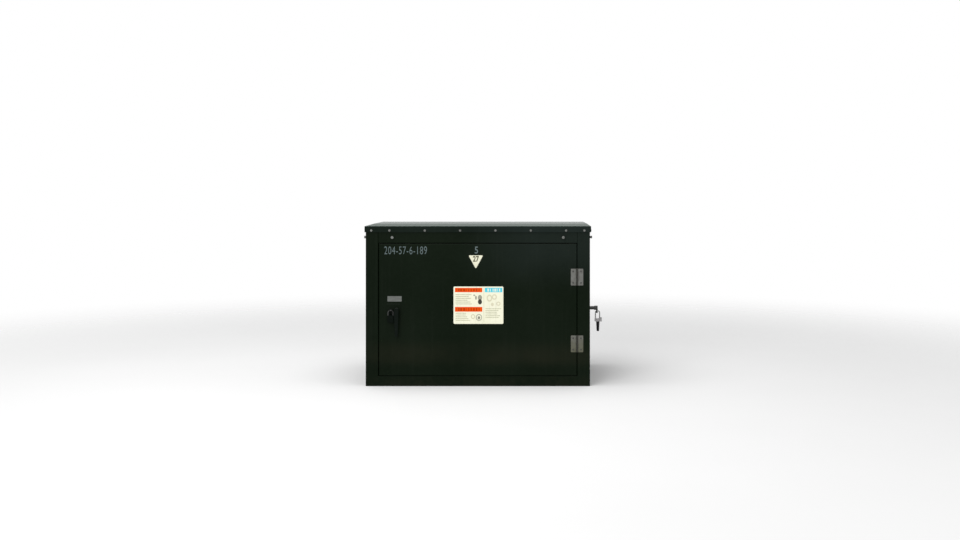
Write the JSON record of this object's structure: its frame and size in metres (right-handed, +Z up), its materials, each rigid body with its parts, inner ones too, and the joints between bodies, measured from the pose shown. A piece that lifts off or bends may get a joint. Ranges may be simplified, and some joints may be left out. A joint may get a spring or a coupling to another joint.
{
  "type": "roadside utility cabinet",
  "caption": "Low wide steel cabinet for roadside electrical gear, with a hinged door, lever latch, bolted roof and a switch inside turned by a side crank.",
  "frame": {"origin": "on the ground in the middle of the base frame, at the centre of its anchor holes", "axes": "+X to the right as seen from the door, +Y from the door to the rear wall, +Z up"},
  "size_m": [1.752, 1.1783, 1.1535],
  "materials": {
    "cabinet_paint": "dark green semi-gloss enamel, weathered",
    "zinc_bolts": "dull zinc plate",
    "hinge_steel": "weathered stainless steel",
    "latch_paint": "darker green enamel",
    "crank_steel": "dull greasy steel",
    "black_lock": "blackened case, rubbed at the edges",
    "old_shackle_steel": "hard steel, dulled",
    "lock_steel": "worn plated steel",
    "shackle_steel": "hard plated steel",
    "gasket_rubber": "black sponge rubber",
    "inner_zinc": "galvanized steel",
    "cast_bearing": "painted casting",
    "insulator_resin": "cast resin, red brown",
    "contact_copper": "plain copper",
    "barrier_board": "glass polyester board",
    "shaft_glass_fibre": "pultruded glass fibre",
    "label_face": "printed film in colour fields",
    "plate_grey": "bare dull plate"
  },
  "bodies": {
    "cabinet": {"base_frame": "cabinet_paint", "left_side_wall": "cabinet_paint", "right_side_wall": "cabinet_paint", "rear_wall": "cabinet_paint", "rear_wall_bolts": "zinc_bolts", "header_rail": "cabinet_paint", "sill_rail": "cabinet_paint", "roof_cover": "cabinet_paint", "roof_screws": "zinc_bolts", "lifting_bolts": "zinc_bolts", "lifting_plates": "inner_zinc", "door_gasket": "gasket_rubber", "hinge_frame_leaves": "hinge_steel", "hinge_pins": "hinge_steel", "hinge_frame_screws": "hinge_steel", "mounting_channels": "inner_zinc", "upper_insulators": "insulator_resin", "lower_insulators": "insulator_resin", "upper_contacts": "contact_copper", "lower_contacts": "contact_copper", "phase_barriers": "barrier_board", "ground_bus": "contact_copper", "ground_bus_supports": "inner_zinc", "shaft_end_bearing": "cast_bearing", "drive_housing": "cast_bearing", "spindle_flange": "latch_paint", "spindle_flange_bolts": "zinc_bolts"},
    "door": {"door_panel": "cabinet_paint", "door_stiffeners": "cabinet_paint", "hinge_door_leaves": "hinge_steel", "hinge_door_screws": "hinge_steel", "label_panel": "label_face", "name_plate": "plate_grey", "triangle_marker": "label_face", "latch_escutcheon": "cabinet_paint", "latch_bearing": "cast_bearing", "lock_guard": "latch_paint", "security_bolt": "zinc_bolts", "padlock_shackle": "old_shackle_steel", "padlock_case": "black_lock", "rod_guides": "inner_zinc"},
    "latch": {"latch_lever": "latch_paint", "latch_shaft": "inner_zinc", "latch_cam": "inner_zinc"},
    "upper_rod": {"upper_latch_rod": "inner_zinc"},
    "lower_rod": {"lower_latch_rod": "inner_zinc"},
    "switch": {"switch_shaft": "shaft_glass_fibre", "blade_hubs": "insulator_resin", "switch_blades": "contact_copper", "shaft_coupling": "cast_bearing", "operating_spindle": "inner_zinc", "operating_crank": "crank_steel", "side_padlock_shackle": "shackle_steel", "side_padlock_case": "lock_steel"}
  },
  "joints": [
    {"name": "door_swing", "type": "hinge", "parent": "cabinet", "child": "door", "pos_m": [0.7135, -0.5665, 0], "axis": [0, 0, 1], "range_deg": [0, 170]},
    {"name": "latch_turn", "type": "hinge", "parent": "door", "child": "latch", "pos_m": [-0.583, -0.568, 0.548], "axis": [0, -1, 0], "range_deg": [0, 90]},
    {"name": "upper_rod_slide", "type": "slide", "parent": "door", "child": "upper_rod", "axis": [0, 0, 1], "range_m": [0, 0.034]},
    {"name": "lower_rod_slide", "type": "slide", "parent": "door", "child": "lower_rod", "axis": [0, 0, -1], "range_m": [0, 0.034]},
    {"name": "switch_turn", "type": "hinge", "parent": "cabinet", "child": "switch", "pos_m": [0, 0, 0.508], "axis": [1, 0, 0], "range_deg": [0, 90]}
  ],
  "couplings": [
    {"joint": "upper_rod_slide", "follows": "latch_turn", "m_per_rad": 0.021608},
    {"joint": "lower_rod_slide", "follows": "latch_turn", "m_per_rad": 0.021608}
  ]
}
